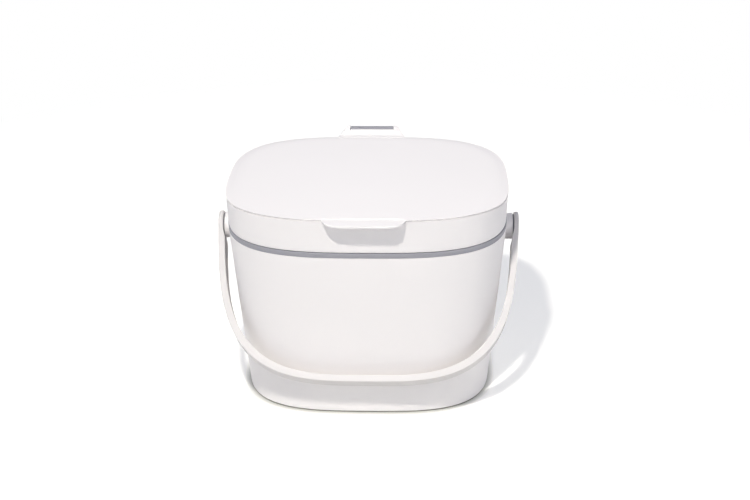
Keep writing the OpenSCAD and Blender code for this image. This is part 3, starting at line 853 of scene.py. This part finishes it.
for name, place in (("right", lambda part: part), ("left", mirrored)):
    mesh_piece("pivot_pin_cap_" + name, "handle", ["pivot_pin_" + name], grey_abs,
               [place(pivot_pin())])
    mesh_piece("pivot_washer_ring_" + name, "handle", ["pivot_washer_" + name],
               grey_rubber, [place(flat_ring(WASHER_BORE_R, washer_hi.y, washer_lo.x, washer_hi.x))])
    mesh_piece("pivot_bush_sleeve_" + name, "bucket", ["pivot_bush_" + name],
               grey_abs, [place(flat_ring(BUSH_BORE_R, bush_hi.y, bush_lo.x, bush_hi.x))])

# ---------------------------------------------------------------- studio

FLOOR_HALF = 6000
FLOOR_NEAR, FLOOR_FAR = 340, 700  # between these distances the table runs out to plain white
CONTACT_REACH = 6  # how far from the base the contact shadow starts
CONTACT_POWER = 1.3
FLOOR_WHITE_SHARE = 0.4  # part of the table that the camera sees as plain white, the rest takes shadow
FLOOR_COLOUR = "#DEDEDC"
FLOOR_GAIN = 1.3  # how much brighter than white paint the camera sees the rest
FLOOR_PAINT = (1.0, 0.99, 0.93, 1.0)
SKY = (0.81, 0.835, 1.0, 1.0)
SUN = (1.0, 0.97, 0.915)


def studio_floor():
    """Plain white table: the camera sees it as white, apart from the soft shadow that it keeps."""
    mesh = bpy.data.meshes.new("studio_floor")
    side = FLOOR_HALF * MM
    corners = [(-side, -side, 0), (side, -side, 0), (side, side, 0), (-side, side, 0)]
    mesh.from_pydata(corners, [], [(0, 1, 2, 3)])
    floor = bpy.data.objects.new("studio_floor", mesh)
    bpy.context.scene.collection.objects.link(floor)
    material, tree = empty_material("white_table")
    rays = add_node(tree, "ShaderNodeLightPath")
    seen = add_node(tree, "ShaderNodeMath", {
        0: rays.outputs["Is Camera Ray"], 1: rays.outputs["Is Glossy Ray"]}, operation="MAXIMUM")
    plain = add_node(tree, "ShaderNodeBsdfDiffuse", {"Color": linear(FLOOR_COLOUR)})
    white = add_node(tree, "ShaderNodeEmission", {"Strength": 1.0})
    paint = add_node(tree, "ShaderNodeBsdfDiffuse", {"Color": FLOOR_PAINT})
    gain = [FLOOR_GAIN - 1] * 3 + [1.0]
    extra = add_node(tree, "ShaderNodeBsdfDiffuse", {"Color": gain})
    bright = add_node(tree, "ShaderNodeAddShader", {0: paint.outputs["BSDF"], 1: extra.outputs["BSDF"]})
    place = add_node(tree, "ShaderNodeTexCoord").outputs["Object"]
    away = add_node(tree, "ShaderNodeVectorMath", {0: place}, operation="LENGTH")
    near = add_node(tree, "ShaderNodeMapRange", {
        "Value": away.outputs["Value"], "From Min": FLOOR_NEAR * MM, "From Max": FLOOR_FAR * MM,
        "To Min": 1 - FLOOR_WHITE_SHARE, "To Max": 0.0})
    lifted = add_node(tree, "ShaderNodeMixShader", {
        "Fac": near.outputs["Result"], 1: white.outputs["Emission"], 2: bright.outputs["Shader"]})
    # Where the base meets the table, the last few millimetres fall into a dull olive contact shadow
    touch = add_node(tree, "ShaderNodeAmbientOcclusion", {"Distance": CONTACT_REACH * MM}, samples=16)
    clear = add_node(tree, "ShaderNodeMath", {
        0: touch.outputs["AO"], 1: CONTACT_POWER}, operation="POWER")
    dull = add_node(tree, "ShaderNodeBsdfDiffuse", {"Color": linear("#5A5844")})
    grounded = add_node(tree, "ShaderNodeMixShader", {
        "Fac": clear.outputs["Value"], 1: dull.outputs["BSDF"], 2: lifted.outputs["Shader"]})
    surface = add_node(tree, "ShaderNodeMixShader", {
        "Fac": seen.outputs["Value"], 1: plain.outputs["BSDF"], 2: grounded.outputs["Shader"]})
    add_node(tree, "ShaderNodeOutputMaterial", {"Surface": surface.outputs["Shader"]})
    mesh.materials.append(material)


def studio_world(level):
    """Even soft surroundings, white where the camera looks past the table."""
    world = bpy.data.worlds.new("studio")
    bpy.context.scene.world = world
    world.use_nodes = True
    tree = world.node_tree
    tree.nodes.clear()
    rays = add_node(tree, "ShaderNodeLightPath")
    soft = add_node(tree, "ShaderNodeBackground", {"Color": SKY, "Strength": level})
    white = add_node(tree, "ShaderNodeBackground", {"Color": (1.0, 1.0, 1.0, 1.0), "Strength": 1.0})
    surface = add_node(tree, "ShaderNodeMixShader", {
        "Fac": rays.outputs["Is Camera Ray"],
        1: soft.outputs["Background"], 2: white.outputs["Background"]})
    add_node(tree, "ShaderNodeOutputWorld", {"Surface": surface.outputs["Shader"]})


def soft_light(name, place, aim, size, level, colour=(1.0, 1.0, 1.0), even=False):
    """Round soft box, turned to its aim; level is how bright it alone makes a white face there.

    An even light keeps its strength over the whole object instead of falling off with distance.
    """
    light = bpy.data.lights.new(name, "AREA")
    light.shape = "DISK"
    light.size = size * MM
    light.color = colour
    away = Vector(place) - Vector(aim)
    light.energy = level * (math.pi * away.length * MM) ** 2
    if even:
        light.energy = level * math.pi ** 2
        light.use_nodes = True
        tree = light.node_tree
        tree.nodes.clear()
        falloff = add_node(tree, "ShaderNodeLightFalloff", {"Strength": 1.0})
        glow = add_node(tree, "ShaderNodeEmission", {"Strength": falloff.outputs["Constant"]})
        add_node(tree, "ShaderNodeOutputLight", {"Surface": glow.outputs["Emission"]})
    lamp = bpy.data.objects.new(name, light)
    bpy.context.scene.collection.objects.link(lamp)
    lamp.location = Vector(place) * MM
    lamp.rotation_mode = "QUATERNION"
    lamp.rotation_quaternion = away.to_track_quat("Z", "Y")


def camera():
    """Camera before the finger lip, looking down on the lid by 25 degrees and turned a little aside."""
    pitch, yaw, roll = math.radians(24.955), math.radians(-2.009), math.radians(-0.521)
    side, height, distance = 4.415, 90.0, 891.26
    sensor_w, picture_w, focal_px = 36, 750, 1244.15
    sp, cp, sr, cr = math.sin(pitch), math.cos(pitch), math.sin(roll), math.cos(roll)
    right, up, back = Vector((1, 0, 0)), Vector((0, sp, cp)), Vector((0, -cp, sp))
    place = Vector((side, -cp * distance, height + sp * distance))
    unturn = Matrix.Rotation(-yaw, 3, "Z")
    axes = [unturn @ v for v in (cr * right + sr * up, cr * up - sr * right, back)]
    data = bpy.data.cameras.new("camera")
    data.sensor_width = sensor_w
    data.lens = focal_px / picture_w * sensor_w
    data.clip_start, data.clip_end = 0.05, 50
    made = bpy.data.objects.new("camera", data)
    bpy.context.scene.collection.objects.link(made)
    turn = Matrix((axes[0], axes[1], axes[2])).transposed().to_4x4()
    made.matrix_world = Matrix.Translation(unturn @ place * MM) @ turn
    bpy.context.scene.camera = made


LID_FRONT = (0, -80, 140)
studio_floor()
studio_world(0.38)
soft_light("key", (-118, -465, 806), (0, -80, 120), 56, 0.75, SUN, even=True)
soft_light("right_fill", (1700, -700, 700), LID_FRONT, 900, 0.17)
soft_light("left_fill", (-1700, -700, 700), LID_FRONT, 900, 0.07)
soft_light("front_fill", (-150, -1900, 500), LID_FRONT, 1100, 0.075)
soft_light("rear_fill", (0, 1600, 1200), (0, 0, 140), 900, 0.09)
camera()
bpy.context.scene.view_settings.view_transform = "Standard"

bpy.context.view_layer.update()
